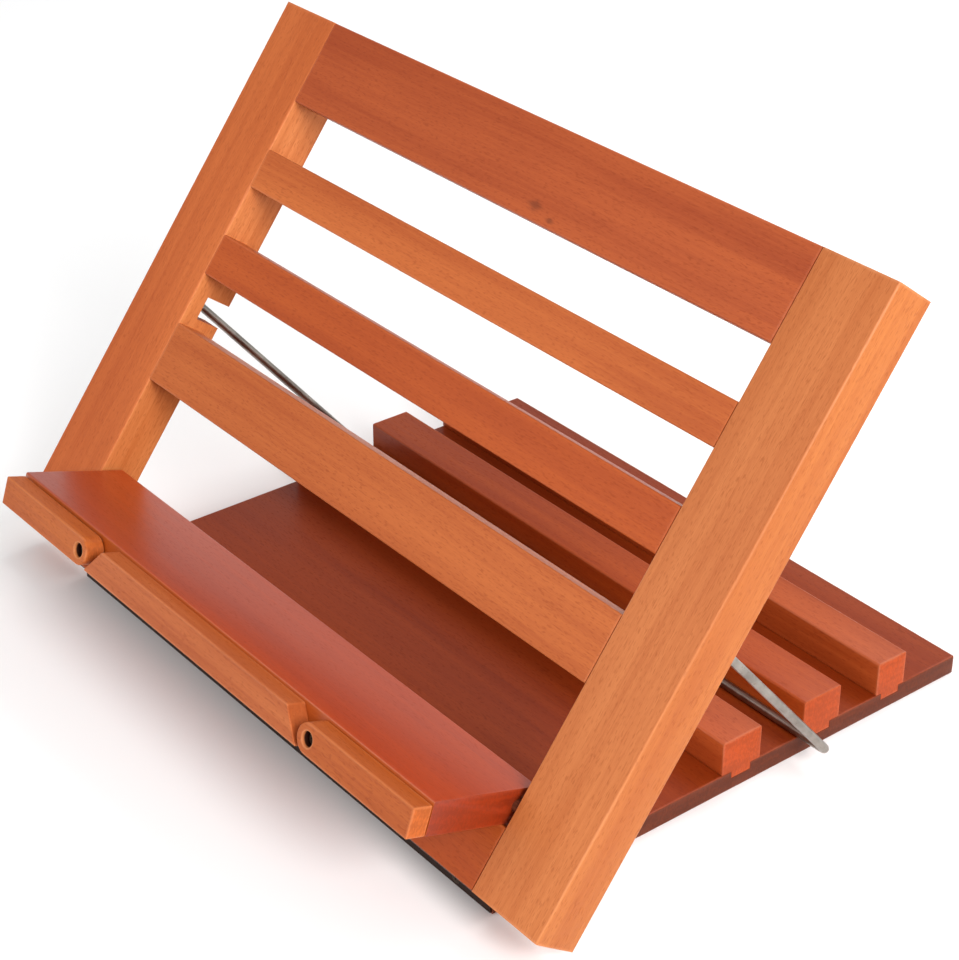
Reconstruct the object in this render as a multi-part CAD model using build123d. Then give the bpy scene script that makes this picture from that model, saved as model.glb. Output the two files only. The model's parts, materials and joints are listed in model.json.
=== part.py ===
from build123d import *
import os
from math import cos, radians, sin, sqrt

# Folding wooden book stand. Millimetres, +Z up, +X to the reader's right, +Y away from the reader.
# The origin is the middle of the base board's underside, where the stand rests on the table.

# ---- driving dimensions -------------------------------------------------------------------------
lean = 53.13            # angle of the page frame above the table, with the wire against the middle cleat

frame_width = 340.0
frame_height = 241.0
stile_width = 34.0
stile_thickness = 20.0
slat_thickness = 12.0
edge_round = 0.8        # eased edges of the wooden pieces

# lower and upper edge of each cross member, measured up the frame from its bottom end
members = {
    "bottom_rail": (0.0, 24.0),
    "lower_slat": (78.8, 104.8),
    "middle_slat": (127.3, 145.2),
    "upper_slat": (167.0, 184.0),
    "top_rail": (205.7, 241.0),
}

base_width = 269.0
base_thickness = 8.0
base_length = 229.2

cleat_height = 14.3     # above the base board
cleat_tongue_depth = 3.0
cleat_tongue_width = 9.5
cleats = {                # distance of the front face from the hinge axis, and width
    "cleat_front": (107.6, 19.0),
    "cleat_middle": (148.45, 19.0),
    "cleat_rear": (187.7, 15.0),
}

barrel_radius = 1.7
pin_radius = 0.9
pin_clearance = 0.04
leaf_thickness = 0.8
hinge_half_length = 134.0
knuckle_count = 53
knuckle_gap = 0.25
hinge_drop = 2.0        # hinge axis below the frame's bottom edge, and in front of the base board
hinge_depth = 12.25     # hinge axis behind the frame's front face
base_leaf_bottom = 0.7
frame_leaf_reach = 8.5
leaf_screw_x = (-115.0, -82.0, -49.0, -16.0, 16.0, 49.0, 82.0, 115.0)
leaf_screw_length = 11.0
leaf_screw_radius = 1.1
leaf_screw_head = 2.0

wire_radius = 1.75
wire_bend = 4.0
prop_half_width = 149.0
prop_length = 117.4
prop_pin_end = 163.0
prop_pivot = (114.0, -14.0)     # up the frame, and behind its front face
prop_rod_lift = 0.1             # rod above the base board
pocket_height = 10.0
pocket_depth = 12.5
pocket_reach = 153.8
groove_width = 4.8
groove_floor = -11.6
groove_low = 98.0
groove_high = 236.0
rod_pocket_low = 224.0

ledge_half_width = 133.5
ledge_depth = 45.6
ledge_thickness = 13.0
ledge_dip = 18.4                # the ledge leans this much past square to the frame
ledge_pivot = (31.7, -3.2)
ledge_pivot_from_back = 7.4
ledge_tail_round = 6.2
ledge_pin_radius = 2.5
ledge_pin_in_board = 18.0
ledge_pin_in_stile = 14.0

strip_thickness = 8.0
strip_height = 11.5
strip_gap = 0.3                 # between the page arms and the ledge
arm_pivot_x = 76.0
arm_outer_x = 133.5
block_shoulder = 61.4
block_toe = 70.6
block_corner_round = 1.5
arm_screw_radius = 1.5
arm_screw_clearance = 0.05
arm_screw_head_radius = 2.5
arm_screw_head_height = 2.2
arm_screw_recess = 4.6
arm_screw_length = 24.0

dowel_radius = 2.5
dowel_half_length = 15.0
dowel_clearance = 0.05

# ---- places -------------------------------------------------------------------------------------
# Frame coordinates are x, v up the frame and w out of its front face, with v = w = 0 on the
# bottom edge of the front face.
hinge_v = -hinge_drop
hinge_w = -hinge_depth
hinge_y = -(base_length / 2 + hinge_drop)
hinge_z = base_thickness
stile_inner = frame_width / 2 - stile_width

up_y = cos(radians(lean))
up_z = sin(radians(lean))


def to_world(x, v, w):
    """Point in frame coordinates to the part's frame."""
    a = v - hinge_v
    b = w - hinge_w
    return Vector(x, hinge_y + a * up_y - b * up_z, hinge_z + a * up_z + b * up_y)


frame_place = Plane(origin=to_world(0, 0, 0), x_dir=(1, 0, 0), z_dir=(0, -up_z, up_y)).location

# The ledge has its own coordinates: x to the reader's left, d towards the reader and n out of its top
# face, from the pivot. So its left side is at positive x.
ledge_angle = radians(90 + ledge_dip)
ledge_d_v = cos(ledge_angle)
ledge_d_w = sin(ledge_angle)
ledge_origin = to_world(0, *ledge_pivot)
ledge_out = to_world(0, ledge_pivot[0] + ledge_d_v, ledge_pivot[1] + ledge_d_w) - ledge_origin
ledge_place = Plane(origin=ledge_origin, x_dir=(-1, 0, 0), z_dir=Vector(-1, 0, 0).cross(ledge_out)).location


def slab(x0, x1, y0, y1, z0, z1):
    """Box between two corners."""
    size = (abs(x1 - x0), abs(y1 - y0), abs(z1 - z0))
    centre = ((x0 + x1) / 2, (y0 + y1) / 2, (z0 + z1) / 2)
    return Pos(*centre) * Box(*size)


def rod_x(x0, x1, y, z, radius):
    """Round rod along X."""
    return Pos((x0 + x1) / 2, y, z) * Rot(0, 90, 0) * Cylinder(radius, abs(x1 - x0))


def eased(solid, axis, radius=edge_round):
    """Solid with the edges that run along one axis rounded."""
    return fillet(solid.edges().filter_by(axis), radius)


# ---- base board with its three cleats -----------------------------------------------------------
def tongue_box(start, width, depth, slack=0.0):
    middle = hinge_y + start + width / 2
    half = cleat_tongue_width / 2 + slack
    return slab(-base_width / 2, base_width / 2, middle - half, middle + half,
                base_thickness - depth, base_thickness)


def make_base_board():
    board = slab(-base_width / 2, base_width / 2, -base_length / 2, base_length / 2, 0, base_thickness)
    board = eased(board, Axis.Y, 0.6)
    for start, width in cleats.values():
        board -= tongue_box(start, width, cleat_tongue_depth)
    for x in leaf_screw_x:
        board -= base_screw(x, pin_clearance)
    return board


def make_cleat(start, width):
    front = hinge_y + start
    top = base_thickness + cleat_height
    body = slab(-base_width / 2, base_width / 2, front, front + width, base_thickness, top)
    upper = body.edges().filter_by(Axis.X).group_by(Axis.Z)[-1]
    body = fillet(upper, edge_round)
    return body + tongue_box(start, width, cleat_tongue_depth)


# ---- piano hinge --------------------------------------------------------------------------------
knuckle_pitch = 2 * hinge_half_length / knuckle_count


def knuckle_spans(first):
    """X range of every other knuckle, starting from knuckle number first."""
    spans = []
    for i in range(first, knuckle_count, 2):
        x0 = -hinge_half_length + i * knuckle_pitch
        spans.append((x0 + knuckle_gap / 2, x0 + knuckle_pitch - knuckle_gap / 2))
    return spans


def hinge_leaf(spans, reach):
    """Leaf lying in the plane +Y of the pin, reaching down -Z, with its rolled knuckles."""
    near = hinge_drop - leaf_thickness
    leaf = slab(-hinge_half_length, hinge_half_length, near, hinge_drop, -reach, -barrel_radius - 0.3)
    for x0, x1 in spans:
        leaf += slab(x0, x1, near, hinge_drop, -barrel_radius - 0.3, 0)
        leaf += slab(x0, x1, 0, hinge_drop - leaf_thickness / 2, -0.2, barrel_radius * 0.6) & rod_x(
            x0, x1, 0, 0, barrel_radius)
        leaf += rod_x(x0, x1, 0, 0, barrel_radius)
    leaf -= rod_x(-hinge_half_length - 1, hinge_half_length + 1, 0, 0, pin_radius + pin_clearance)
    return leaf


def leaf_screw(slack=0.0):
    """Countersunk screw along +Y whose head is flush with the plane Y = 0."""
    head = Rot(-90, 0, 0) * Pos(0, 0, leaf_thickness / 2) * Cone(
        leaf_screw_head + slack, leaf_screw_radius + slack, leaf_thickness)
    shank_length = leaf_screw_length - leaf_thickness + slack
    shank = Rot(-90, 0, 0) * Pos(0, 0, leaf_thickness + shank_length / 2) * Cylinder(
        leaf_screw_radius + slack, shank_length)
    return head + shank


def base_screw(x, slack=0.0):
    z = (base_leaf_bottom + base_thickness - barrel_radius - 0.3) / 2
    return Pos(x, hinge_y + hinge_drop - leaf_thickness, z) * leaf_screw(slack)


def frame_screw(x, slack=0.0):
    w = hinge_w + (barrel_radius + 0.3 + frame_leaf_reach) / 2
    return frame_place * Pos(x, -leaf_thickness, w) * leaf_screw(slack)


def make_base_leaf():
    leaf = Pos(0, hinge_y, hinge_z) * hinge_leaf(knuckle_spans(0), hinge_z - base_leaf_bottom)
    for x in leaf_screw_x:
        leaf -= base_screw(x, pin_clearance)
    return leaf


def make_frame_leaf():
    leaf = Pos(0, hinge_v, hinge_w) * mirror(hinge_leaf(knuckle_spans(1), frame_leaf_reach), about=Plane.XY)
    leaf = frame_place * leaf
    for x in leaf_screw_x:
        leaf -= frame_screw(x, pin_clearance)
    return leaf


def make_hinge_pin():
    return rod_x(-hinge_half_length, hinge_half_length, hinge_y, hinge_z, pin_radius)


# ---- page frame ---------------------------------------------------------------------------------
def dowel_heights(low, high):
    middle = (low + high) / 2
    spread = (high - low) / 4
    return (middle - spread, middle + spread)


def frame_dowels(side, slack=0.0):
    """Dowels that join the cross members to one stile, side = -1 left or 1 right."""
    pins = []
    half = dowel_half_length + 4 * slack
    for low, high in members.values():
        for v in dowel_heights(low, high):
            x = side * stile_inner
            pins.append(rod_x(x - half, x + half, v, -slat_thickness / 2, dowel_radius + slack))
    return pins


def make_stile(side):
    inner = side * stile_inner
    stile = slab(inner, side * frame_width / 2, 0, frame_height, -stile_thickness, 0)
    stile = eased(stile, Axis.Y)
    back = -stile_thickness - 1
    pivot_v, pivot_w = prop_pivot
    # pocket that takes the pivot end of the wire prop, open to the back and to the inner side
    stile -= slab(inner - side, side * pocket_reach, pivot_v - pocket_height / 2, pivot_v + pocket_height / 2,
                  back, -stile_thickness + pocket_depth)
    # groove that the leg of the prop lies in, and a pocket for its cross rod near the top
    groove_x0 = side * (prop_half_width - groove_width / 2)
    groove_x1 = side * (prop_half_width + groove_width / 2)
    stile -= slab(groove_x0, groove_x1, groove_low, groove_high, back, groove_floor)
    stile -= slab(inner - side, groove_x1, rod_pocket_low, groove_high, back, groove_floor)
    stile -= rod_x(side * pocket_reach, side * (prop_pin_end + 0.5), pivot_v, pivot_w,
                   wire_radius + pin_clearance)
    stile -= rod_x(inner, side * (stile_inner + ledge_pin_in_stile + 0.5), *ledge_pivot,
                   ledge_pin_radius + pin_clearance)
    for pin in frame_dowels(side, dowel_clearance):
        stile -= pin
    return stile


def make_member(name):
    low, high = members[name]
    member = slab(-stile_inner, stile_inner, low, high, -slat_thickness, 0)
    member = eased(member, Axis.X)
    for side in (-1, 1):
        for pin in frame_dowels(side, dowel_clearance):
            member -= pin
    member = frame_place * member
    if name == "bottom_rail":
        for x in leaf_screw_x:
            member -= frame_screw(x, pin_clearance)
    return member


# ---- wire prop ----------------------------------------------------------------------------------
def prop_rod_position():
    """Y and Z of the cross rod, lying on the base board at the wire's full length."""
    pivot = to_world(0, *prop_pivot)
    z = base_thickness + wire_radius + prop_rod_lift
    return pivot.Y + sqrt(prop_length ** 2 - (pivot.Z - z) ** 2), z


def make_prop():
    pivot = to_world(0, *prop_pivot)
    rod_y, rod_z = prop_rod_position()
    down = (Vector(0, rod_y, rod_z) - Vector(0, pivot.Y, pivot.Z)).normalized()
    plane = Plane(origin=(0, pivot.Y, pivot.Z), x_dir=(1, 0, 0), z_dir=Vector(1, 0, 0).cross(down))
    path = FilletPolyline(
        (-prop_pin_end, 0), (-prop_half_width, 0), (-prop_half_width, prop_length),
        (prop_half_width, prop_length), (prop_half_width, 0), (prop_pin_end, 0), radius=wire_bend)
    section = Plane(origin=(-prop_pin_end, 0, 0), z_dir=(1, 0, 0)) * Circle(wire_radius)
    return plane.location * sweep(section, path=path)


# ---- ledge with its fixed block and page arms ---------------------------------------------------
ledge_back = -ledge_pivot_from_back
ledge_front = ledge_depth - ledge_pivot_from_back
ledge_top = ledge_thickness / 2
ledge_bottom = -ledge_thickness / 2
strip_low = ledge_bottom
strip_high = ledge_bottom + strip_height
strip_middle = (strip_low + strip_high) / 2


def arm_screw(side, slack=0.0):
    """Recessed screw that an arm turns on, side = 1 left or -1 right."""
    front = ledge_front + strip_gap + strip_thickness
    head_top = front - arm_screw_recess + arm_screw_head_height
    head = Pos(0, head_top - arm_screw_head_height / 2, 0) * Rot(90, 0, 0) * Cylinder(
        arm_screw_head_radius, arm_screw_head_height)
    length = arm_screw_length + slack
    shank = Pos(0, head_top - length / 2, 0) * Rot(90, 0, 0) * Cylinder(arm_screw_radius + slack, length)
    return Pos(side * arm_pivot_x, 0, strip_middle) * (head + shank)


def make_ledge():
    board = slab(-ledge_half_width, ledge_half_width, ledge_back, ledge_front, ledge_bottom, ledge_top)
    along = board.edges().filter_by(Axis.X)
    tail = along.group_by(Axis.Y)[0].sort_by(Axis.Z)[0]
    board = fillet(tail, ledge_tail_round)
    upper = board.edges().filter_by(Axis.X).group_by(Axis.Z)[-1]
    board = fillet(upper, edge_round)
    for side in (-1, 1):
        board -= ledge_pin(side, pin_clearance)
        board -= arm_screw(side, arm_screw_clearance)
    return board


def ledge_pin(side, slack=0.0):
    start = side * (ledge_half_width - ledge_pin_in_board - slack)
    return rod_x(start, side * (stile_inner + ledge_pin_in_stile), 0, 0, ledge_pin_radius + slack)


def make_block():
    """Fixed strip, with sloping ends that the raised arms lean back towards."""
    front = ledge_front + strip_thickness
    outline = Polyline(
        (-block_toe, strip_low), (block_toe, strip_low), (block_shoulder, strip_high),
        (-block_shoulder, strip_high), close=True)
    block = extrude(Plane.XZ.offset(-front) * make_face(outline), amount=strip_thickness, dir=(0, -1, 0))
    corners = block.edges().filter_by(Axis.Y).group_by(Axis.Z)[-1]
    return fillet(corners, block_corner_round)


def make_arm(side):
    back = ledge_front + strip_gap
    front = back + strip_thickness
    middle = (back + front) / 2
    arm = slab(side * arm_pivot_x, side * arm_outer_x, back, front, strip_low, strip_high)
    arm += Pos(side * arm_pivot_x, middle, strip_middle) * Rot(90, 0, 0) * Cylinder(
        strip_height / 2, strip_thickness)
    end = arm.faces().sort_by(Axis.X)[-1 if side > 0 else 0]
    arm = chamfer(end.edges(), 0.8)
    bore = Rot(90, 0, 0) * Cylinder(arm_screw_radius + arm_screw_clearance, 3 * strip_thickness)
    arm -= Pos(side * arm_pivot_x, middle, strip_middle) * bore
    recess = Rot(90, 0, 0) * Cylinder(arm_screw_head_radius + 0.3, arm_screw_recess + 1)
    arm -= Pos(side * arm_pivot_x, front - arm_screw_recess + (arm_screw_recess + 1) / 2 - 0.1,
               strip_middle) * recess
    return arm


# ---- all pieces ---------------------------------------------------------------------------------
pieces = {"base_board": make_base_board()}
for cleat_name, (cleat_start, cleat_width) in cleats.items():
    pieces[cleat_name] = make_cleat(cleat_start, cleat_width)
pieces["hinge_leaf_base"] = make_base_leaf()
pieces["hinge_leaf_frame"] = make_frame_leaf()
pieces["hinge_pin"] = make_hinge_pin()
pieces["hinge_screws_base"] = Compound(children=[base_screw(x) for x in leaf_screw_x])
pieces["hinge_screws_frame"] = Compound(children=[frame_screw(x) for x in leaf_screw_x])

pieces["stile_left"] = frame_place * make_stile(-1)
pieces["stile_right"] = frame_place * make_stile(1)
for member_name in members:
    pieces[member_name] = make_member(member_name)
pieces["dowels_left"] = Compound(children=[frame_place * pin for pin in frame_dowels(-1)])
pieces["dowels_right"] = Compound(children=[frame_place * pin for pin in frame_dowels(1)])

pieces["wire_prop"] = make_prop()

pieces["ledge_board"] = ledge_place * make_ledge()
pieces["ledge_pin_left"] = ledge_place * ledge_pin(1)
pieces["ledge_pin_right"] = ledge_place * ledge_pin(-1)
pieces["page_block"] = ledge_place * make_block()
pieces["page_arm_left"] = ledge_place * make_arm(1)
pieces["page_arm_right"] = ledge_place * make_arm(-1)
pieces["arm_screw_left"] = ledge_place * arm_screw(1)
pieces["arm_screw_right"] = ledge_place * arm_screw(-1)

os.makedirs("parts", exist_ok=True)
for piece_name, piece in pieces.items():
    export_step(piece, f"parts/{piece_name}.step")
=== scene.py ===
import json
import math

import bmesh
import bpy
from mathutils import Matrix, Vector


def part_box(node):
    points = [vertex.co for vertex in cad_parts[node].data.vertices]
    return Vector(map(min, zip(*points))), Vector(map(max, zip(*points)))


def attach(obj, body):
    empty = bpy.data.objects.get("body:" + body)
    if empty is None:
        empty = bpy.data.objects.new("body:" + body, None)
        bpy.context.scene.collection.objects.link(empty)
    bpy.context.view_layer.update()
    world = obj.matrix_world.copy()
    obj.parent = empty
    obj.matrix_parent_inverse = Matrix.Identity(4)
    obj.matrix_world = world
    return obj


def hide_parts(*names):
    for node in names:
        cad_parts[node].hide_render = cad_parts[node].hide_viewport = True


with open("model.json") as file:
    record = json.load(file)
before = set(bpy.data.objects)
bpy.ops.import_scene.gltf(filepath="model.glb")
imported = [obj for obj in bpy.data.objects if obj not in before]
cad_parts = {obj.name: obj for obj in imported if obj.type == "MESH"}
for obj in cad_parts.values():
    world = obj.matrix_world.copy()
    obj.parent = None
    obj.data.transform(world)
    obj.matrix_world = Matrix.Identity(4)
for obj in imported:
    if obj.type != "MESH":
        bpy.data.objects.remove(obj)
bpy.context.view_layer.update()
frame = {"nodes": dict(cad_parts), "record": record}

# ---- Base board ----------------------------------------------------------------------------------
# A thin board of stained beech that lies on the table. Three shallow slots run across its top for
# the cleats. It is sawn, sanded and dipped, so its end grain has drunk more stain than its face.

MM = 0.001


class Wire:
    """One output of a node, so that sums on it read as plain Python."""

    def __init__(self, wiring, socket):
        self.wiring, self.socket = wiring, socket

    def maths(self, operation, *others):
        return self.wiring.node("ShaderNodeMath", {"operation": operation}, dict(enumerate((self, *others))))

    def other(self, name):
        """Another output of the same node."""
        return Wire(self.wiring, self.socket.node.outputs[name])

    def __add__(self, value):
        return self.maths("ADD", value)

    def __sub__(self, value):
        return self.maths("SUBTRACT", value)

    def __rsub__(self, value):
        return self.wiring.node("ShaderNodeMath", {"operation": "SUBTRACT"}, {0: value, 1: self})

    def __mul__(self, value):
        return self.maths("MULTIPLY", value)

    def __abs__(self):
        return self.maths("ABSOLUTE")

    __radd__, __rmul__ = __add__, __mul__


class Wiring:
    """A node tree as it is wired. Every node but plain maths comes from node()."""

    def __init__(self, tree):
        self.tree = tree

    def node(self, kind, settings, sockets, output=0):
        made = self.tree.nodes.new(kind)
        for key, value in settings.items():
            setattr(made, key, value)
        for key, value in sockets.items():
            for one in value if isinstance(value, list) else [value]:
                if isinstance(one, Wire):
                    self.tree.links.new(one.socket, made.inputs[key])
                else:
                    made.inputs[key].default_value = one
        return Wire(self, made.outputs[output]) if made.outputs else None


class Finish(Wiring):
    """A material's wiring, with the few steps that every finish here shares."""

    def __init__(self, name):
        self.material = bpy.data.materials.new(name)
        self.material.use_nodes = True
        super().__init__(self.material.node_tree)
        self.tree.nodes.clear()
        self.at = self.node("ShaderNodeTexCoord", {}, {}, "Object")

    def noise(self, spots, detail=2.0, roughness=0.5):
        """Noise from 0 to 1 about 0.5 at a point given as three wires or numbers."""
        point = self.node("ShaderNodeCombineXYZ", {}, dict(enumerate(spots)))
        sockets = {"Vector": point, "Scale": 1.0, "Detail": detail, "Roughness": roughness}
        return self.node("ShaderNodeTexNoise", {}, sockets, "Fac")

    def step(self, value, low, high, start=0.0, end=1.0):
        """A soft step of value from low to high."""
        return self.node(
            "ShaderNodeMapRange", {"interpolation_type": "SMOOTHSTEP"},
            {"Value": value, "From Min": low, "From Max": high, "To Min": start, "To Max": end})

    def blend(self, factor, first, second, how="MIX"):
        """Colour between first and second, which are wires or (r, g, b)."""
        ends = [one if isinstance(one, Wire) else (*one, 1.0) for one in (first, second)]
        return self.node(
            "ShaderNodeMix", {"data_type": "RGBA", "blend_type": how}, {0: factor, 6: ends[0], 7: ends[1]}, 2)

    def shade(self, **inputs):
        """Ends the material with its surface. Names use _ for a space."""
        sockets = {name.replace("_", " "): value for name, value in inputs.items()}
        surface = self.node("ShaderNodeBsdfPrincipled", {}, sockets)
        self.node("ShaderNodeOutputMaterial", {}, {"Surface": surface})
        return self.material


class LaidFlat:
    """A leaning piece turned flat about X: its box, and each point's place and facing as wires."""

    def __init__(self, wood, piece, turn):
        corners = [Matrix.Rotation(turn, 3, "X") @ v.co for v in piece.data.vertices]
        self.low = [min(c[i] for c in corners) for i in range(3)]
        self.high = [max(c[i] for c in corners) for i in range(3)]
        turned = {"Rotation": (turn, 0.0, 0.0)}
        place = wood.node("ShaderNodeMapping", {}, {"Vector": wood.at, **turned})
        self.x = wood.node("ShaderNodeSeparateXYZ", {}, {0: place})
        self.y, self.z = self.x.other("Y"), self.x.other("Z")
        facing = wood.node("ShaderNodeTexCoord", {}, {}, "Normal")
        facing = wood.node("ShaderNodeMapping", {"vector_type": "VECTOR"}, {"Vector": facing, **turned})
        self.facing_x = wood.node("ShaderNodeSeparateXYZ", {}, {0: facing})
        self.facing_y = self.facing_x.other("Y")

    def from_edge(self):
        """Distance to the nearest edge: the middle one of the distances to the three pairs of faces."""
        gaps = [(high - low) / 2 - abs(place - (high + low) / 2)
                for low, high, place in zip(self.low, self.high, (self.x, self.y, self.z))]
        inner = gaps[0].maths("MAXIMUM", gaps[1]).maths("MINIMUM", gaps[2])
        return gaps[0].maths("MINIMUM", gaps[1]).maths("MAXIMUM", inner)


def shade_of(tone, red, green, blue, lift=0.0):
    """A tone with its channels scaled and lifted, held at white."""
    return [min(1.0, channel * scale + lift) for channel, scale in zip(tone, (red, green, blue))]


def grain_of(wood, along, across, deep, seed):
    """The parts of straight grain: slow drift, year rings, fine lines, fibres, ray flecks and short pores."""
    drift = wood.noise((along * 5 + seed, across * 30, deep * 45), 2.0)
    rings = wood.noise((along * 3 - seed, across * 190, deep * 230), 2.0)
    lines = wood.noise((along * 22 + seed, across * 900, deep * 900), 2.0, 0.6)
    fibres = wood.noise((along * 90, across * 3600 + seed, deep * 3600), 1.0)
    cells = wood.noise((along * 430 + seed, across * 2300, deep * 1900), 0.0)
    pores = wood.noise((along * 260 - seed, across * 4200, deep * 2600), 1.0)
    return drift, rings, lines, fibres, wood.step(cells, 0.60, 0.74), wood.step(pores, 0.57, 0.70)


def bore_painted_shade_and_rim(wood, colour, tone, flat, hole, lines):
    """A bore in the front of a piece: painted shade on its walls inside, with a pale rim round its mouth.
    hole is (x, z, radius).
    """
    hole_x, hole_z, radius = hole
    spoke = wood.node("ShaderNodeCombineXYZ", {}, {0: flat.x - hole_x, 1: flat.z - hole_z})
    spoke = wood.node("ShaderNodeVectorMath", {"operation": "LENGTH"}, {0: spoke}, "Value")
    rim = wood.step(spoke + (lines - 0.5) * (0.5 * MM), radius + 1.0 * MM, radius + 0.3 * MM)
    colour = wood.blend(rim * 0.85, colour, shade_of(tone, 1.2, 1.7, 2.6, 0.03))
    front = flat.low[1]
    below_rim = wood.step(flat.y, front + 0.7 * MM, front + 1.4 * MM)
    # painted shade: the bore's walls below the rim are near black, for the shade down in the recess
    inside = wood.step(spoke, radius + 0.12 * MM, radius + 0.04 * MM) * below_rim
    return wood.blend(inside, colour, (0.035, 0.008, 0.004))


def stained_beech(name, piece, tone, turn=0.0, upright=False, seed=0.0, end_tone=None, painted_light_side_tone=None,
                  gloss=0.0, streak=1.0, fleck=1.0, wear=0.5, marks=(), hole=None):
    """Beech under a thin satin stain. turn lays a leaning piece flat, about X. The grain runs along X, or
    along the piece's own Y if it is upright. end_tone is the colour of its end grain, the side tone a colour
    painted on its narrow sides for the light and shade that fall on them, and gloss the amount of lacquer.
    In the laid-flat piece, marks are (x, y, size) of small dark spots and hole is (x, z, radius) of a bore in
    its front, with painted shade inside."""
    wood = Finish(name)
    flat = LaidFlat(wood, piece, turn)
    along, across = (flat.y, flat.x) if upright else (flat.x, flat.y)
    facing_end, facing_side = (flat.facing_y, flat.facing_x) if upright else (flat.facing_x, flat.facing_y)

    # the fibres wander a little, so nothing that follows is dead straight
    wander = wood.noise((along * 7 + seed, across * 16, flat.z * 16), 1.0) - 0.5
    across = across + wander * 0.006
    deep = flat.z + wander * 0.004
    drift, rings, lines, fibres, flecks, short_pores = grain_of(wood, along, across, deep, seed)
    mixed = (0.5 + (drift - 0.5) * (1.1 * streak) + (rings - 0.5) * (0.75 * streak)
             + (lines - 0.5) * (0.55 * streak) + (fibres - 0.5) * 0.28)
    dark, light = shade_of(tone, 0.80, 0.66, 0.54), shade_of(tone, 1.16, 1.30, 1.42)
    colour = wood.blend(wood.step(mixed, 0.05, 0.95), dark, light)
    colour = wood.blend(flecks * (0.34 * fleck), colour, shade_of(tone, 0.56, 0.40, 0.30))
    colour = wood.blend(short_pores * (0.20 * fleck), colour, shade_of(tone, 0.62, 0.46, 0.36))

    # painted light and shade: the narrow sides take their own tint, standing for how the light falls on them
    if painted_light_side_tone:
        tint = [min(4.0, side / face) for side, face in zip(painted_light_side_tone, tone)]
        tinted = wood.blend(1.0, colour, tint, "MULTIPLY")
        colour = wood.blend(wood.step(abs(facing_side), 0.6, 0.9), colour, tinted)

    for mark_x, mark_y, size in marks:
        away = abs(flat.x - mark_x) * (0.45 / size) + abs(flat.y - mark_y) * (1.0 / size)
        away = away + (lines - 0.5) * 0.9
        colour = wood.blend(wood.step(away, 1.0, 0.2) * 0.6, colour, shade_of(tone, 0.35, 0.35, 0.35))

    # end grain: open pores in rows, and more stain
    end = wood.step(abs(facing_end), 0.6, 0.9)
    open_pores = wood.noise((across * 1500, deep * 700 + seed, along * 40), 1.0)
    arcs = wood.noise((across * 60 + seed, deep * 420, 0.3), 1.0)
    end_tone = end_tone or shade_of(tone, 0.74, 0.58, 0.46)
    dark_end, light_end = shade_of(end_tone, 0.84, 0.84, 0.84), shade_of(end_tone, 1.12, 1.12, 1.12)
    end_colour = wood.blend(wood.step(open_pores + (arcs - 0.5) * 0.8, 0.3, 0.75), dark_end, light_end)
    colour = wood.blend(end, colour, end_colour)

    # arrises rubbed pale by hands, here and there
    near_edge = wood.step(flat.from_edge() + (lines - 0.5) * (1.4 * MM), 1.1 * MM, 0.1 * MM)
    rubbed = near_edge * wood.step(drift, 0.3, 0.65, 0.25, 1.0)
    colour = wood.blend(rubbed * wear, colour, shade_of(tone, 1.25, 1.6, 2.0, 0.03))
    # painted shade inside the screw bore, with a pale rim round its mouth
    if hole:
        colour = bore_painted_shade_and_rim(wood, colour, tone, flat, hole, lines)

    rough = 0.46 - 0.10 * gloss + (lines - 0.5) * 0.12 + flecks * 0.10 + end * 0.14 - rubbed * 0.05
    height = fibres * 0.35 + lines * 0.45 - flecks * 0.55 - end * open_pores * 0.6
    bump = wood.node("ShaderNodeBump", {}, {"Height": height, "Strength": 0.28, "Distance": 0.12 * MM})
    return wood.shade(
        Base_Color=colour, Roughness=rough, Normal=bump, IOR=1.48, Specular_IOR_Level=0.14 + 0.22 * gloss,
        Coat_Weight=0.45 * gloss * gloss, Coat_Roughness=0.34, Coat_IOR=1.45)


def joint(name):
    """One joint of the stand, from the frame's record."""
    return next(j for j in frame["record"]["behaviour"]["joints"] if j["name"] == name)


def meshed(made, name):
    """Plain mesh of a bmesh, which is freed."""
    mesh = bpy.data.meshes.new(name)
    made.to_mesh(mesh)
    made.free()
    return mesh


def new_piece(name, mesh):
    """Object at the origin, with its place in its mesh."""
    piece = bpy.data.objects.new(name, mesh)
    bpy.context.scene.collection.objects.link(piece)
    return piece


def settled(piece):
    """Puts what the modifiers make of a piece into its own mesh, and removes them."""
    bpy.context.view_layer.update()
    graph = bpy.context.evaluated_depsgraph_get()
    mesh = bpy.data.meshes.new_from_object(piece.evaluated_get(graph))
    mesh.name = piece.name
    piece.modifiers.clear()
    piece.data = mesh
    return piece


def soften(piece, width, segments=3, over=32, chosen=None):
    """Rounds every edge sharper than over degrees, or only those that chosen picks by their two ends."""
    bevel = piece.modifiers.new("arris", "BEVEL")
    bevel.width, bevel.segments, bevel.limit_method = width, segments, "ANGLE"
    bevel.angle_limit = math.radians(over)
    bevel.harden_normals = True
    bevel.use_clamp_overlap = True
    if chosen:
        bevel.limit_method = "WEIGHT"
        weighed = bmesh.new()
        weighed.from_mesh(piece.data)
        layer = weighed.edges.layers.float.new("bevel_weight_edge")
        for edge in weighed.edges:
            sharp = edge.calc_face_angle(0.0) > math.radians(over)
            rounded = sharp and chosen(edge.verts[0].co, edge.verts[1].co)
            edge[layer] = float(rounded)
            edge.smooth = rounded or not sharp
        weighed.to_mesh(piece.data)
        weighed.free()
    for face in piece.data.polygons:
        face.use_smooth = True
    return settled(piece)


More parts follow.
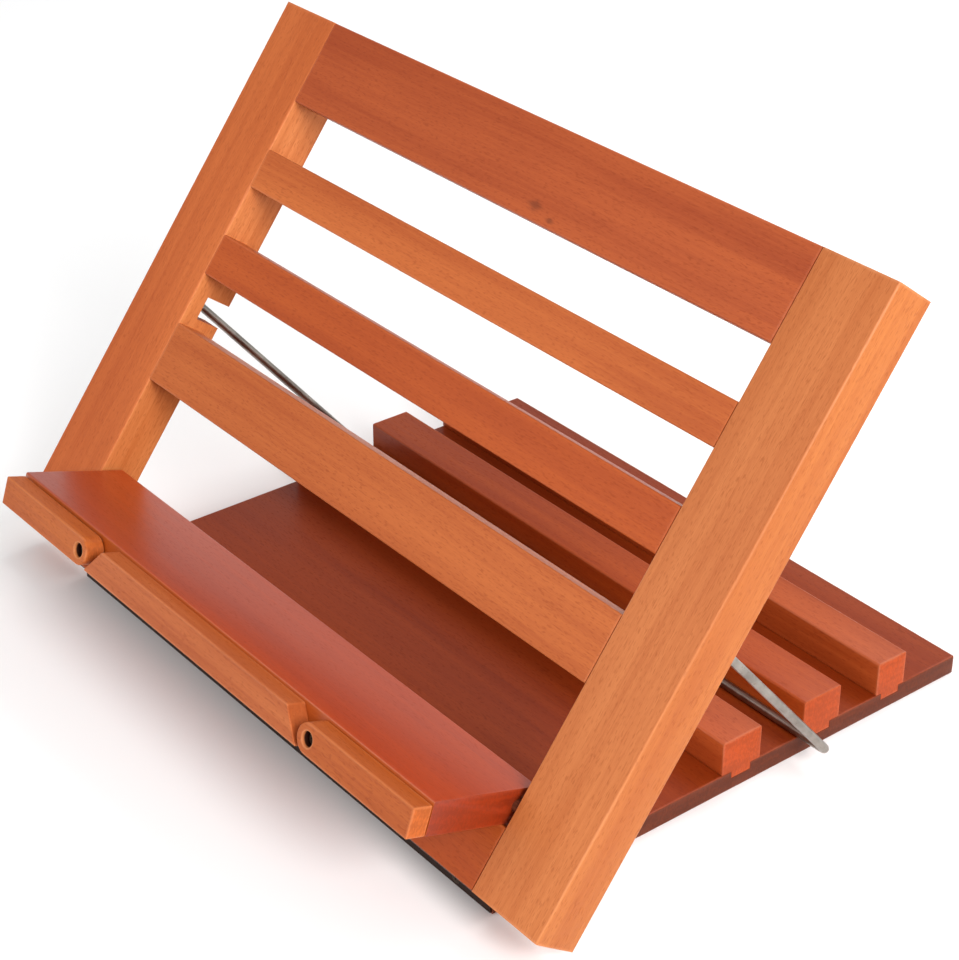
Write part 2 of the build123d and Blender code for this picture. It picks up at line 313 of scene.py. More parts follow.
def from_node(node, name, width, chosen=None):
    """A wooden piece with softened arrises, on the shape of its CAD node."""
    copy = bmesh.new()
    copy.from_mesh(frame["nodes"][node].data)
    bmesh.ops.remove_doubles(copy, verts=copy.verts, dist=0.002 * MM)
    bmesh.ops.dissolve_limit(copy, angle_limit=math.radians(0.6), verts=copy.verts, edges=copy.edges)
    return soften(new_piece(name, meshed(copy, name)), width, chosen=chosen)


def fit(piece, material, body, nodes):
    """Finishes a piece, stands it for its CAD nodes and lets it ride on its body."""
    piece.data.materials.clear()
    piece.data.materials.append(material)
    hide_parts(*nodes)
    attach(piece, body)
    return piece


BASE_ARRIS = 0.35 * MM
board = from_node("base_board", "base_board_wood", BASE_ARRIS)
board_stain = stained_beech(
    "base stain", board, (0.245, 0.033, 0.0038), seed=3.1, gloss=0.35, streak=0.8, wear=0.35,
    end_tone=(0.110, 0.020, 0.005))
fit(board, board_stain, "base", ["base_board"])

# ---- Cleats --------------------------------------------------------------------------------------
# Three beech bars glued into the slots of the base board, with the wire's cross rod standing against
# one of them. Their ends are cut flush with the board's edges and show end grain.

CLEAT_STAINS = {
    "cleat_front": ((0.35, 0.058, 0.011), 5.7),
    "cleat_middle": ((0.35, 0.055, 0.007), 10.0),
    "cleat_rear": ((0.34, 0.058, 0.011), 14.3),
}
for cleat, (stain, seed) in CLEAT_STAINS.items():
    bar = from_node(cleat, f"{cleat}_wood", BASE_ARRIS)
    bar_stain = stained_beech(
        f"{cleat} stain", bar, stain, seed=seed, gloss=0.35, wear=0.55, end_tone=(0.385, 0.052, 0.0050))
    fit(bar, bar_stain, "base", [cleat])

# ---- Page frame ----------------------------------------------------------------------------------
# Two thick stiles with five thinner members between them, dowelled and glued. The stiles are of paler
# wood, with their grain upright; the members' grain runs across. Everything is sanded and eased.

LEAN = math.atan2(0.8, 0.6)      # of the frame above the table, with the wire against the middle cleat
STILE_ARRIS, MEMBER_ARRIS = 0.45 * MM, 0.40 * MM
# Each stile's stain, then the colour painted on its narrow sides for light and shade (lighter on the left
# stile, darker on the right), and a seed.
STILE_STAINS_AND_SIDE_LIGHT = {
    "stile_left": ((0.500, 0.115, 0.0250), (0.60, 0.190, 0.055), 2.3),
    "stile_right": ((0.500, 0.148, 0.0420), (0.465, 0.136, 0.0310), 9.9),
}
MEMBER_STAINS = {
    "bottom_rail": ((0.36, 0.060, 0.0055), 12.7, 0.7),
    "lower_slat": ((0.445, 0.101, 0.0200), 17.2, 0.9),
    "middle_slat": ((0.395, 0.066, 0.0080), 21.5, 0.7),
    "upper_slat": ((0.480, 0.110, 0.0215), 26.1, 0.8),
    "top_rail": ((0.375, 0.066, 0.0125), 31.4, 1.0),
}
PIN_KNOTS = {"top_rail": ((0.012, 0.150, 0.0032), (0.022, 0.147, 0.0018))}

for stile, (stain, painted_side_light, seed) in STILE_STAINS_AND_SIDE_LIGHT.items():
    joint_x = min(abs(v.co.x) for v in frame["nodes"][stile].data.vertices) + 0.5 * MM
    upright = from_node(
        stile, f"{stile}_wood", STILE_ARRIS, lambda a, b: max(abs(a.x), abs(b.x)) > joint_x)
    stile_stain = stained_beech(
        f"{stile} stain", upright, stain, -LEAN, True, seed, gloss=0.2, streak=0.75, wear=0.5,
        end_tone=(0.42, 0.090, 0.018), painted_light_side_tone=painted_side_light)
    fit(upright, stile_stain, "frame", [stile])

for member, (stain, seed, streak) in MEMBER_STAINS.items():
    slat = from_node(
        member, f"{member}_wood", MEMBER_ARRIS, lambda a, b: abs((b - a).normalized().x) > 0.99)
    slat_stain = stained_beech(
        f"{member} stain", slat, stain, -LEAN, False, seed, gloss=0.3, streak=streak, wear=0.5,
        marks=PIN_KNOTS.get(member, ()))
    fit(slat, slat_stain, "frame", [member])


# The dowels are bare beech inside the glued joints, and the ledge's pins are painted near black, as painted
# shade in the narrow gaps where they show. Both are plain turned pins, so they keep their shape.
def turned_beech(name, seed, dark, light, pore):
    """Plain turned beech between two shades, with the fibres along X and small pores."""
    wood = Finish(name)
    x = wood.node("ShaderNodeSeparateXYZ", {}, {0: wood.at})
    y, z = x.other("Y"), x.other("Z")
    lines = wood.noise((x * 30 + seed, y * 1400, z * 1400), 2.0)
    flecks = wood.step(wood.noise((x * 400, y * 2400 + seed, z * 2400), 1.0), 0.58, 0.7)
    colour = wood.blend(wood.step(lines, 0.3, 0.7), dark, light)
    colour = wood.blend(flecks * 0.4, colour, pore)
    bump = wood.node("ShaderNodeBump", {}, {"Height": lines - flecks, "Strength": 0.3, "Distance": 0.1 * MM})
    return wood.shade(Base_Color=colour, Roughness=0.55 + lines * 0.15, Normal=bump, Specular_IOR_Level=0.35)


BARE_BEECH = turned_beech("bare beech", 1.7, (0.50, 0.29, 0.15), (0.66, 0.43, 0.25), (0.34, 0.17, 0.08))
# painted shade: the ledge's pins are coloured near black for the shade in the gap between ledge and stile
SHADE_DARK_PIN = turned_beech(
    "stained pin", 2.9, (0.085, 0.016, 0.004), (0.15, 0.030, 0.008), (0.05, 0.010, 0.003))
for peg, peg_finish in (("dowels_left", BARE_BEECH), ("dowels_right", BARE_BEECH),
                        ("ledge_pin_left", SHADE_DARK_PIN), ("ledge_pin_right", SHADE_DARK_PIN)):
    frame["nodes"][peg].data.materials.clear()
    frame["nodes"][peg].data.materials.append(peg_finish)

# ---- Ledge ---------------------------------------------------------------------------------------
# A thicker board that the book stands on, deep red on top under more lacquer than the rest. It turns
# on two wooden pins in the stiles, so its back lower edge is well rounded.

arm_axis = Vector(joint("arm_right_turn")["axis"])      # out of the ledge's front edge
LAY_LEDGE_FLAT = math.atan2(arm_axis.z, -arm_axis.y)
shelf = from_node("ledge_board", "ledge_board_wood", 0.45 * MM)
# The ledge's front and back edges get a paler, more orange painted tint than its top, standing for how the
# light falls on them.
shelf_stain = stained_beech(
    "ledge stain", shelf, (0.39, 0.041, 0.0024), LAY_LEDGE_FLAT, False, 41.3, gloss=1.0, streak=0.7,
    fleck=0.7, wear=0.15, end_tone=(0.255, 0.022, 0.0008), painted_light_side_tone=(0.44, 0.085, 0.013))
fit(shelf, shelf_stain, "ledge", ["ledge_board"])

# ---- Page block and page arms --------------------------------------------------------------------
# A thin strip along the ledge's front edge, cut in three. The middle is glued on, and its ends slope, so
# that the two round-ended arms can turn up on recessed screws and lean inwards over the pages.

STRIP_THICK = 8.0 * MM
STRIP_HALF_HIGH = 5.75 * MM
ARM_END_X = 133.5 * MM
ARM_GAP = 0.3 * MM
ARM_FRONT = ARM_GAP + STRIP_THICK
arm_pivot_x, *strip_yz = joint("arm_right_turn")["pos_m"]
strip_middle = Vector((0.0, *strip_yz))      # middle of the strip's height, on the ledge's front edge
ledge_up = Vector((0.0, arm_axis.z, -arm_axis.y))


def on_strip(x, out, up):
    """Point by its distance along the ledge, out of its front edge and above the strip's middle."""
    return strip_middle + Vector((x, 0.0, 0.0)) + arm_axis * out + ledge_up * up


def on_pivot(side):
    """Placing of a turned piece, made along +Z, on the pivot of an arm, out of the ledge."""
    turned = arm_axis.to_track_quat("Z", "Y").to_matrix().to_4x4()
    return Matrix.Translation(on_strip(side * arm_pivot_x, 0.0, 0.0)) @ turned


def strip_piece(name, outline, back, front):
    """Flat strip of that outline (x, up) between two distances in front of the ledge."""
    made = bmesh.new()
    rings = [[made.verts.new(on_strip(x, out, up)) for x, up in outline] for out in (back, front)]
    made.faces.new(rings[0])
    made.faces.new(rings[1])
    for i in range(len(outline)):
        k = (i + 1) % len(outline)
        made.faces.new((rings[0][i], rings[0][k], rings[1][k], rings[1][i]))
    bmesh.ops.recalc_face_normals(made, faces=made.faces)
    return new_piece(name, meshed(made, name))


def arc(centre_x, centre_up, radius, start, end, steps):
    """Points of a circle's arc, angles in degrees from +x towards up."""
    angles = [math.radians(start + (end - start) * i / steps) for i in range(steps + 1)]
    return [(centre_x + radius * math.cos(a), centre_up + radius * math.sin(a)) for a in angles]


def lathe(name, profile, place, steps=40):
    """Closed turned piece from (radius, distance along) points, with place turning +Z into its axis. The
    first and last points are on the axis."""
    made = bmesh.new()
    turns = [math.tau * i / steps for i in range(steps)]
    rings = [[made.verts.new((radius * math.cos(a), radius * math.sin(a), along)) for a in turns]
             for radius, along in profile[1:-1]]
    tips = [made.verts.new((0.0, 0.0, along)) for _, along in (profile[0], profile[-1])]
    for i in range(steps):
        k = (i + 1) % steps
        made.faces.new((tips[0], rings[0][k], rings[0][i]))
        made.faces.new((rings[-1][i], rings[-1][k], tips[1]))
        for near, far in zip(rings, rings[1:]):
            made.faces.new((near[i], near[k], far[k], far[i]))
    made.transform(place)
    bmesh.ops.recalc_face_normals(made, faces=made.faces)
    return new_piece(name, meshed(made, name))


def carve(piece, *cutters):
    """Cuts the cutters out of a piece and discards them."""
    for cutter in cutters:
        hole = piece.modifiers.new("hole", "BOOLEAN")
        hole.operation, hole.solver, hole.object = "DIFFERENCE", "EXACT", cutter
    settled(piece)
    for cutter in cutters:
        bpy.data.objects.remove(cutter)
    return piece


SHOULDER_X, TOE_X = 61.4 * MM, 70.6 * MM
SHOULDER_ROUND = 1.5 * MM
slope = math.degrees(math.atan2(TOE_X - SHOULDER_X, 2 * STRIP_HALF_HIGH))
shoulder_in = SHOULDER_ROUND * math.tan(math.radians(90 - slope) / 2)
right_end = [(TOE_X, -STRIP_HALF_HIGH)]
right_end += arc(SHOULDER_X - shoulder_in, STRIP_HALF_HIGH - SHOULDER_ROUND, SHOULDER_ROUND, slope, 90.0, 8)
block_outline = right_end + [(-x, up) for x, up in reversed(right_end)]
block = soften(strip_piece("page_block_wood", block_outline, 0.0, STRIP_THICK), 0.4 * MM, over=40)
block_stain = stained_beech(
    "block stain", block, (0.455, 0.110, 0.0260), LAY_LEDGE_FLAT, False, 52.9, gloss=0.3, wear=0.7)
fit(block, block_stain, "ledge", ["page_block"])

SCREW_RECESS = 4.6 * MM
RECESS_RADIUS = 2.8 * MM
BORE_RADIUS = 1.55 * MM
PAST = 1.0 * MM      # how far a cutter passes the face that it cuts
ARM_STAINS = {"left": (-1, (0.420, 0.091, 0.0130), 55.2), "right": (1, (0.410, 0.086, 0.0130), 65.2)}
recess_floor = ARM_FRONT - SCREW_RECESS - 0.1 * MM
bore = [(0.0, -PAST), (BORE_RADIUS, -PAST), (BORE_RADIUS, recess_floor), (RECESS_RADIUS, recess_floor),
        (RECESS_RADIUS, ARM_FRONT + PAST), (0.0, ARM_FRONT + PAST)]
pivot_level = (Matrix.Rotation(LAY_LEDGE_FLAT, 3, "X") @ strip_middle).z
for hand, (side, stain, seed) in ARM_STAINS.items():
    outline = [(side * ARM_END_X, -STRIP_HALF_HIGH), (side * ARM_END_X, STRIP_HALF_HIGH)]
    outline += [(side * (2 * arm_pivot_x - x), up)
                for x, up in arc(arm_pivot_x, 0.0, STRIP_HALF_HIGH, 90.0, -90.0, 32)]
    arm = strip_piece(f"page_arm_{hand}_wood", outline, ARM_GAP, ARM_FRONT)
    arm = soften(carve(arm, lathe("bore", bore, on_pivot(side))), 0.45 * MM, over=40)
    arm_stain = stained_beech(
        f"arm {hand} stain", arm, stain, LAY_LEDGE_FLAT, False, seed, gloss=0.3, wear=0.7,
        end_tone=(0.440, 0.100, 0.0190), hole=(side * arm_pivot_x, pivot_level, RECESS_RADIUS))
    fit(arm, arm_stain, f"arm_{hand}", [f"page_arm_{hand}"])

# ---- Arm screws ----------------------------------------------------------------------------------
# Cross-headed steel screws, bronzed dark, sunk below the arms' faces and driven into the ledge.

def bronzed_steel(name, seed, tint=(0.060, 0.038, 0.024), bright=(0.34, 0.25, 0.17)):
    """Bronzed steel whose dark coat has rubbed through to the metal in places."""
    steel = Finish(name)
    x = steel.node("ShaderNodeSeparateXYZ", {}, {0: steel.at})
    y, z = x.other("Y"), x.other("Z")
    cloud = steel.noise((x * 300 + seed, y * 300, z * 300), 3.0)
    scratch = steel.noise((x * 180 + seed, y * 5000, z * 5000), 2.0)
    pits = steel.noise((x * 2600, y * 2600 + seed, z * 2600), 1.0)
    rubbed = steel.step(cloud + (scratch - 0.5) * 0.7, 0.60, 0.82)
    colour = steel.blend(steel.step(pits, 0.3, 0.7), tint, [c * 1.7 for c in tint])
    colour = steel.blend(rubbed * 0.55, colour, bright)
    bump = steel.node(
        "ShaderNodeBump", {}, {"Height": scratch * 0.5 + pits * 0.4, "Strength": 0.25, "Distance": 0.05 * MM})
    rough = 0.42 + (cloud - 0.5) * 0.25 - rubbed * 0.08
    return steel.shade(Base_Color=colour, Metallic=0.75 + rubbed * 0.25, Roughness=rough, Normal=bump)


CROSS_TURN = 0.35      # where the crosses come to rest
CROSS_PAST = 0.5 * MM


def cross_screw(name, profile, place, slot_half=1.25 * MM, slot_wide=0.55 * MM, slot_deep=0.8 * MM):
    """Screw from its turned profile, with a cross cut into its head, which is at the profile's far end."""
    screw = lathe(name, profile, Matrix.Identity(4), 32)
    top = max(along for _, along in profile)
    cutters = []
    for turned in (0.0, math.pi / 2):
        made = bmesh.new()
        bmesh.ops.create_cube(made, size=1.0)
        for v in made.verts:
            deep = v.co.z < 0
            half = slot_half * (0.45 if deep else 1.0)      # the slots narrow as they go down
            height = top - slot_deep if deep else top + CROSS_PAST
            v.co = Vector((v.co.x * 2 * half, v.co.y * slot_wide, height))
        made.transform(Matrix.Rotation(turned + CROSS_TURN, 4, "Z"))
        cutters.append(new_piece("cross", meshed(made, "cross")))
    carve(screw, *cutters)
    soften(screw, 0.08 * MM, 2, 40)
    screw.data.transform(place)
    return screw


ARM_SCREW_STEEL = bronzed_steel("arm screw steel", 4.4)
HEAD_RADIUS, HEAD_HEIGHT, SHANK_RADIUS, SCREW_LENGTH = 2.5 * MM, 2.2 * MM, 1.5 * MM, 24.0 * MM
HEAD_DOME, POINT_LENGTH = 0.7 * MM, 3.0 * MM
head_top = ARM_FRONT - SCREW_RECESS + HEAD_HEIGHT
point = head_top - SCREW_LENGTH
arm_screw = [
    (0.0, point), (0.4 * MM, point),
    (SHANK_RADIUS, point + POINT_LENGTH), (SHANK_RADIUS, head_top - HEAD_HEIGHT),
    (HEAD_RADIUS, head_top - HEAD_HEIGHT), (HEAD_RADIUS, head_top - HEAD_DOME),
    (HEAD_RADIUS - HEAD_DOME / 2, head_top - 0.25 * MM), (1.4 * MM, head_top), (0.0, head_top)]
for side, hand in ((-1, "left"), (1, "right")):
    screw = cross_screw(f"arm_screw_{hand}_steel", arm_screw, on_pivot(side))
    fit(screw, ARM_SCREW_STEEL, "ledge", [f"arm_screw_{hand}"])

# ---- Piano hinge ---------------------------------------------------------------------------------
# Two narrow leaves of bronzed steel strip, each with its edge rolled into every other knuckle round one
# long pin. One leaf is screwed to the base board's front edge, the other under the bottom rail.

hinge_at = Vector(joint("frame_raise")["pos_m"])
HINGE_HALF = 134.0 * MM
KNUCKLES = 53
PITCH = 2 * HINGE_HALF / KNUCKLES
KNUCKLE_GAP = 0.25 * MM
BARREL, BORE, PIN_RADIUS = 1.7 * MM, 0.94 * MM, 0.9 * MM
LEAF_NEAR, LEAF_FAR = 1.2 * MM, 2.0 * MM      # the leaf's two faces, behind the pin's axis
LEAF_TOP = 2.0 * MM                           # the flat's upper edge, below the pin's axis
FOOT_LOW, FOOT_HIGH = -2.2 * MM, -1.0 * MM    # where a knuckle joins the flat, and where it starts to roll
ROLL = (12.0, 264.0, 20)                      # a knuckle's start and end round the pin, in degrees, and steps
SCREW_PITCH, SCREW_FIRST, SCREWS_A_SIDE = 33.0 * MM, 16.0 * MM, 4


def knuckle(name):
    """One rolled knuckle, centred on the pin: the strip comes up behind it and curls over to the front."""
    outer = [(LEAF_FAR, FOOT_LOW), (LEAF_FAR, FOOT_HIGH), *arc(0.0, 0.0, BARREL, *ROLL)]
    inner = [(LEAF_NEAR, FOOT_LOW), (LEAF_NEAR - 0.02 * MM, FOOT_HIGH), *arc(0.0, 0.0, BORE, *ROLL)]
    half = (PITCH - KNUCKLE_GAP) / 2
    made = bmesh.new()
    strips = [[made.verts.new((x, y, z)) for y, z in line] for x in (-half, half) for line in (outer, inner)]
    left_outer, left_inner, right_outer, right_inner = strips
    for one, other in ((left_outer, left_inner), (right_outer, right_inner),
                       (left_outer, right_outer), (left_inner, right_inner)):
        for i in range(len(outer) - 1):
            made.faces.new((one[i], one[i + 1], other[i + 1], other[i]))
    for i in (0, -1):
        made.faces.new((left_outer[i], left_inner[i], right_inner[i], right_outer[i]))
    bmesh.ops.recalc_face_normals(made, faces=made.faces)
    return soften(new_piece(name, meshed(made, name)), 0.10 * MM, 2, 50)


def leaf_strip(name, reach):
    """The flat of a leaf, from below its knuckles down to its edge."""
    made = bmesh.new()
    bmesh.ops.create_cube(made, size=1.0)
    for v in made.verts:
        v.co = Vector((v.co.x * 2 * HINGE_HALF, LEAF_FAR if v.co.y > 0 else LEAF_NEAR,
                       -LEAF_TOP if v.co.z > 0 else -reach))
    return new_piece(name, meshed(made, name))


def tree_inputs(tree, **kinds):
    """Named inputs of a geometry tree, after its geometry."""
    tree.interface.new_socket("Geometry", in_out="INPUT", socket_type="NodeSocketGeometry")
    for name, kind in kinds.items():
        tree.interface.new_socket(name.replace("_", " "), in_out="INPUT", socket_type=f"NodeSocket{kind}")
    tree.interface.new_socket("Geometry", in_out="OUTPUT", socket_type="NodeSocketGeometry")


def grow(piece, tree, **values):
    """Runs a geometry tree on a piece and keeps the plain mesh."""
    growing = piece.modifiers.new(tree.name, "NODES")
    growing.node_group = tree
    for socket in tree.interface.items_tree:
        if socket.in_out == "INPUT" and socket.name.replace(" ", "_") in values:
            growing[socket.identifier] = values[socket.name.replace(" ", "_")]
    return settled(piece)


def row_of(wiring, thing, count, first, spacing, level=0.0):
    """Instances of an object in a row along X."""
    start = wiring.node("ShaderNodeCombineXYZ", {}, {"X": first, "Z": level})
    step = wiring.node("ShaderNodeCombineXYZ", {}, {"X": spacing})
    line = wiring.node(
        "GeometryNodeMeshLine", {"mode": "OFFSET"}, {"Count": count, "Start Location": start, "Offset": step})
    source = wiring.node("GeometryNodeObjectInfo", {}, {"Object": thing}, "Geometry")
    return wiring.node("GeometryNodeInstanceOnPoints", {}, {"Points": line, "Instance": source})


def screw_rows(wiring, given, thing):
    """An object at the place of every screw of a leaf, left and right of the middle, as plain geometry."""
    count, first, spacing, level = [
        given.other(name) for name in ("Screws a side", "First screw", "Screw spacing", "Screw level")]
    left = row_of(wiring, thing, count, 0.0 - first, 0.0 - spacing, level)
    right = row_of(wiring, thing, count, first, spacing, level)
    both = wiring.node("GeometryNodeJoinGeometry", {}, {"Geometry": [left, right]})
    return wiring.node("GeometryNodeRealizeInstances", {}, {"Geometry": both})


def with_finish(wiring, given, geometry):
    """Ends a tree: its geometry, realized, in the finish that it was given."""
    whole = wiring.node("GeometryNodeRealizeInstances", {}, {"Geometry": geometry})
    whole = wiring.node("GeometryNodeSetMaterial", {}, {"Geometry": whole, "Material": given.other("Finish")})
    wiring.node("NodeGroupOutput", {}, {"Geometry": whole})


SCREW_INPUTS = {
    "Screws_a_side": "Int", "First_screw": "Float", "Screw_spacing": "Float", "Screw_level": "Float"}
leaf_tree = bpy.data.node_groups.new("hinge leaf", "GeometryNodeTree")
tree_inputs(leaf_tree, Knuckle="Object", Countersink="Object", Knuckle_count="Int", First_knuckle="Float",
            Knuckle_spacing="Float", **SCREW_INPUTS, Finish="Material")
leaf = Wiring(leaf_tree)
given = leaf.node("NodeGroupInput", {}, {})
rolls = row_of(leaf, given.other("Knuckle"), given.other("Knuckle count"), given.other("First knuckle"),
               given.other("Knuckle spacing"))
holes = screw_rows(leaf, given, given.other("Countersink"))
drilled = leaf.node(
    "GeometryNodeMeshBoolean", {"operation": "DIFFERENCE", "solver": "EXACT"},
    {"Mesh 1": given.other("Geometry"), "Mesh 2": holes}, "Mesh")
with_finish(leaf, given, leaf.node("GeometryNodeJoinGeometry", {}, {"Geometry": [drilled, rolls]}))

HINGE_STEEL = bronzed_steel("hinge steel", 8.2, (0.026, 0.009, 0.004), (0.15, 0.075, 0.040))
LEAF_SCREW_HEAD, LEAF_SCREW_RADIUS, LEAF_SCREW_LENGTH = 2.0 * MM, 1.1 * MM, 11.0 * MM
INTO_WOOD = Matrix.Translation((0, LEAF_NEAR, 0)) @ Matrix.Rotation(-math.pi / 2, 4, "X")
OUT_OF_WOOD = Matrix.Translation((0, LEAF_NEAR, 0)) @ Matrix.Rotation(math.pi / 2, 4, "X")
on_base = Matrix.Translation(hinge_at)
on_frame = Matrix.Translation(hinge_at) @ Matrix.Rotation(LEAN, 4, "X") @ Matrix.Scale(-1, 4, (0, 0, 1))
LEAVES = {"base": (7.3 * MM, 0, on_base), "frame": (8.5 * MM, 1, on_frame)}


def stand_on_hinge(piece, place):
    """Moves a piece made on the pin's axis to its leaf, and keeps its faces outwards if that mirrors it."""
    piece.data.transform(place)
    if place.determinant() < 0:
        piece.data.flip_normals()
    return piece


def screw_values(reach):
    """Inputs that place a leaf's screws, half way down its flat."""
    return {"Screws_a_side": SCREWS_A_SIDE, "First_screw": SCREW_FIRST, "Screw_spacing": SCREW_PITCH,
            "Screw_level": -(LEAF_TOP + reach) / 2}


knuckle_shape = knuckle("knuckle")
SINK_LIP, SINK_DEPTH = 0.3 * MM, 0.9 * MM
sink_profile = [
    (0.0, -SINK_LIP), (LEAF_SCREW_HEAD + 0.45 * MM, -SINK_LIP), (LEAF_SCREW_HEAD + 0.12 * MM, 0.0),
    (LEAF_SCREW_RADIUS + 0.2 * MM, SINK_DEPTH), (0.0, SINK_DEPTH)]
countersink = lathe("countersink", sink_profile, INTO_WOOD, 28)
for body, (reach, first, place) in LEAVES.items():
    strip = grow(
        leaf_strip(f"hinge_leaf_{body}_steel", reach), leaf_tree, Knuckle=knuckle_shape,
        Countersink=countersink, Knuckle_count=(KNUCKLES + 1) // 2 - first,
        First_knuckle=-HINGE_HALF + (first + 0.5) * PITCH, Knuckle_spacing=2 * PITCH,
        Finish=HINGE_STEEL, **screw_values(reach))
    fit(stand_on_hinge(strip, place), HINGE_STEEL, body, [f"hinge_leaf_{body}"])
bpy.data.objects.remove(knuckle_shape)
bpy.data.objects.remove(countersink)

PIN_END_RADIUS, PIN_CHAMFER = 0.6 * MM, 0.3 * MM
pin_profile = [
    (0.0, -HINGE_HALF), (PIN_END_RADIUS, -HINGE_HALF), (PIN_RADIUS, PIN_CHAMFER - HINGE_HALF),
    (PIN_RADIUS, HINGE_HALF - PIN_CHAMFER), (PIN_END_RADIUS, HINGE_HALF), (0.0, HINGE_HALF)]
along_hinge = Matrix.Translation(hinge_at) @ Matrix.Rotation(math.pi / 2, 4, "Y")
pin = lathe("hinge_pin_steel", pin_profile, along_hinge, 24)
fit(soften(pin, 0.05 * MM, 1, 60), HINGE_STEEL, "base", ["hinge_pin"])

# Eight countersunk cross-headed screws hold each leaf, their heads flush with its outer face.
screw_tree = bpy.data.node_groups.new("row of screws", "GeometryNodeTree")
tree_inputs(screw_tree, Screw="Object", **SCREW_INPUTS, Finish="Material")
rows = Wiring(screw_tree)
asked = rows.node("NodeGroupInput", {}, {})
with_finish(rows, asked, screw_rows(rows, asked, asked.other("Screw")))

LEAF_SCREW_STEEL = bronzed_steel("leaf screw steel", 6.6, (0.050, 0.032, 0.020))
leaf_profile = [
    (0.0, -LEAF_SCREW_LENGTH), (0.3 * MM, -LEAF_SCREW_LENGTH),
    (LEAF_SCREW_RADIUS, 2.5 * MM - LEAF_SCREW_LENGTH), (LEAF_SCREW_RADIUS, -0.85 * MM),
    (LEAF_SCREW_HEAD, -0.12 * MM), (LEAF_SCREW_HEAD, 0.0),
    (1.2 * MM, 0.06 * MM), (0.0, 0.08 * MM)]
one_screw = cross_screw("leaf_screw", leaf_profile, OUT_OF_WOOD, 1.0 * MM, 0.42 * MM, 0.55 * MM)
for body, (reach, first, place) in LEAVES.items():
    bare = new_piece(f"hinge_screws_{body}_steel", bpy.data.meshes.new("seat"))
    screws = grow(bare, screw_tree, Screw=one_screw, Finish=LEAF_SCREW_STEEL, **screw_values(reach))
    fit(stand_on_hinge(screws, place), LEAF_SCREW_STEEL, body, [f"hinge_screws_{body}"])
bpy.data.objects.remove(one_screw)

# ---- Wire prop -----------------------------------------------------------------------------------
# One length of drawn steel wire, bent into two legs and a cross rod. Its ends turn out into the stiles,
# and its cross rod stands on the base board against the middle cleat.

WIRE_RADIUS = 1.75 * MM
WIRE_BEND = 4.0 * MM
LEG_X, PIN_X = 149.0 * MM, 163.0 * MM
PROP_LENGTH = 117.4 * MM
prop_pivot = Vector(joint("prop_swing")["pos_m"])
wire_low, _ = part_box("wire_prop")
rod_z = wire_low.z + WIRE_RADIUS
rod_y = prop_pivot.y + math.sqrt(PROP_LENGTH ** 2 - (prop_pivot.z - rod_z) ** 2)
wire_line = bpy.data.meshes.new("wire_line")
bends = [(-PIN_X, *prop_pivot.yz), (-LEG_X, *prop_pivot.yz), (-LEG_X, rod_y, rod_z),
         (LEG_X, rod_y, rod_z), (LEG_X, *prop_pivot.yz), (PIN_X, *prop_pivot.yz)]
wire_line.from_pydata(bends, [(i, i + 1) for i in range(len(bends) - 1)], [])

wire_tree = bpy.data.node_groups.new("bent wire", "GeometryNodeTree")
tree_inputs(wire_tree, Radius="Float", Bend="Float", Sides="Int", Finish="Material")
bent = Wiring(wire_tree)
asked = bent.node("NodeGroupInput", {}, {})
line = bent.node("GeometryNodeMeshToCurve", {}, {"Mesh": asked.other("Geometry")})
line = bent.node(
    "GeometryNodeFilletCurve", {"mode": "POLY"}, {"Curve": line, "Radius": asked.other("Bend"), "Count": 10})
ring = bent.node(
    "GeometryNodeCurvePrimitiveCircle", {},
    {"Resolution": asked.other("Sides"), "Radius": asked.other("Radius")})
tube = bent.node("GeometryNodeCurveToMesh", {}, {"Curve": line, "Profile Curve": ring, "Fill Caps": True})
with_finish(bent, asked, bent.node("GeometryNodeSetShadeSmooth", {}, {0: tube}))


def drawn_steel(name):
    """Grey drawn wire: fine scratches along it, a dull skin, and brighter rubbed patches."""
    steel = Finish(name)
    x = steel.node("ShaderNodeSeparateXYZ", {}, {0: steel.at})
    y, z = x.other("Y"), x.other("Z")
    fall = (rod_y - prop_pivot.y) / PROP_LENGTH, (rod_z - prop_pivot.z) / PROP_LENGTH
    along = y * fall[0] + z * fall[1]
    over = z * fall[0] - y * fall[1]
    on_leg = steel.step(abs(x), LEG_X - 3 * MM, LEG_X - 2 * MM)
    leg_lines = steel.noise((along * 60, x * 6000, over * 6000), 2.0)
    rod_lines = steel.noise((x * 60, y * 6000, z * 6000), 2.0)
    lines = leg_lines * on_leg + rod_lines * (1.0 - on_leg)
    skin = steel.noise((x * 120, y * 120, z * 120), 3.0)
    spots = steel.step(steel.noise((x * 900, y * 900, z * 900), 2.0), 0.62, 0.74)
    colour = steel.blend(steel.step(skin, 0.3, 0.7), (0.23, 0.205, 0.18), (0.37, 0.335, 0.295))
    colour = steel.blend(spots * 0.5, colour, (0.13, 0.085, 0.055))
    bump = steel.node("ShaderNodeBump", {}, {"Height": lines, "Strength": 0.25, "Distance": 0.05 * MM})
    rough = 0.34 + (lines - 0.5) * 0.25 + (skin - 0.5) * 0.2 + spots * 0.2
    return steel.shade(Base_Color=colour, Metallic=1.0 - spots * 0.5, Roughness=rough, Normal=bump)


WIRE_STEEL = drawn_steel("drawn wire steel")
prop = grow(new_piece("wire_prop_steel", wire_line), wire_tree, Radius=WIRE_RADIUS, Bend=WIRE_BEND, Sides=24,
            Finish=WIRE_STEEL)
fit(prop, WIRE_STEEL, "prop", ["wire_prop"])

# ---- Table, light and camera ---------------------------------------------------------------------
# A plain pale table top under soft studio light: a broad lamp from the right and above, a weaker one
# from the left, one behind, and an even white surround.

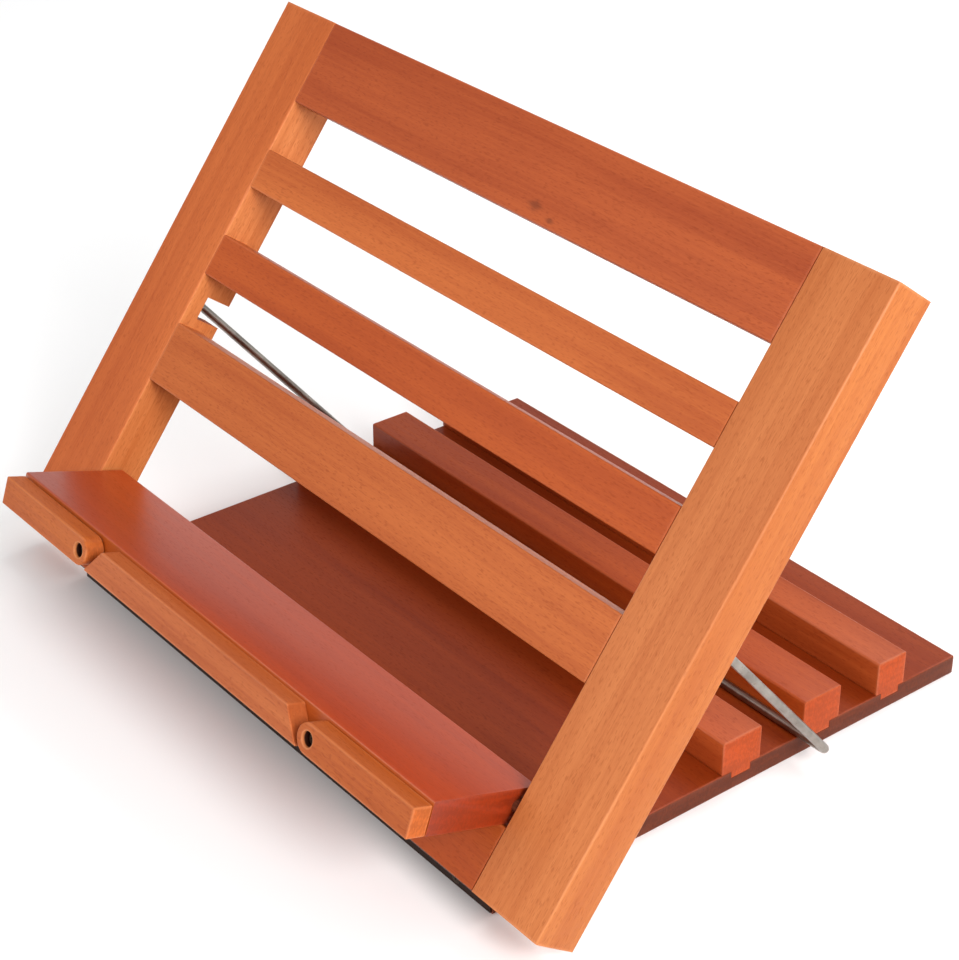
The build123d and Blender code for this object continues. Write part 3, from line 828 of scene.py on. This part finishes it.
TABLE_HALF = 6.0
table = bpy.data.meshes.new("table_top")
corners = [(-TABLE_HALF, -TABLE_HALF, 0), (TABLE_HALF, -TABLE_HALF, 0), (TABLE_HALF, TABLE_HALF, 0),
           (-TABLE_HALF, TABLE_HALF, 0)]
table.from_pydata(corners, [], [(0, 1, 2, 3)])
pale = Finish("pale table")
table.materials.append(pale.shade(Base_Color=(0.92, 0.92, 0.92, 1.0), Roughness=0.9, Specular_IOR_Level=0.1))
new_piece("table_top", table)

surround = bpy.data.worlds.new("surround")
surround.use_nodes = True
surround.node_tree.nodes["Background"].inputs["Color"].default_value = (1.0, 1.0, 1.0, 1.0)
surround.node_tree.nodes["Background"].inputs["Strength"].default_value = 0.52
bpy.context.scene.world = surround
bpy.context.scene.view_settings.view_transform = "Standard"

MIDDLE = Vector((0.0, 0.0, 0.10))      # what the lamps are turned to
LAMPS = {
    "key lamp": ((1.55, -0.35, 1.00), 0.9, 33.0),
    "fill lamp": ((-0.7, -1.5, 1.1), 1.4, 11.0),
    "back lamp": ((0.1, 1.3, 1.25), 1.3, 17.0),
}
for name, (place, size, watts) in LAMPS.items():
    lamp = bpy.data.lights.new(name, "AREA")
    lamp.shape, lamp.size, lamp.energy = "DISK", size, watts
    holder = bpy.data.objects.new(name, lamp)
    holder.location = place
    holder.rotation_euler = (MIDDLE - Vector(place)).to_track_quat("-Z", "Y").to_euler()
    bpy.context.scene.collection.objects.link(holder)

EYE = Vector((0.6096, -0.4975, 0.5266))
YAW, PITCH_DOWN, ROLL = (math.radians(a) for a in (51.422, 30.05, 0.221))
level = math.cos(PITCH_DOWN)
forward = Vector((-math.sin(YAW) * level, math.cos(YAW) * level, -math.sin(PITCH_DOWN)))
right = Vector((math.cos(YAW), math.sin(YAW), 0.0))
above = right.cross(forward)
right, above = (right * math.cos(ROLL) + above * math.sin(ROLL),
                above * math.cos(ROLL) - right * math.sin(ROLL))
lens = bpy.data.cameras.new("camera")
lens.sensor_fit, lens.sensor_width, lens.lens = "HORIZONTAL", 36.0, 88.0686
lens.shift_x, lens.shift_y = -0.006131, -0.011084
camera = bpy.data.objects.new("camera", lens)
camera.matrix_world = Matrix.Translation(EYE) @ Matrix((right, above, -forward)).transposed().to_4x4()
bpy.context.scene.collection.objects.link(camera)
bpy.context.scene.camera = camera
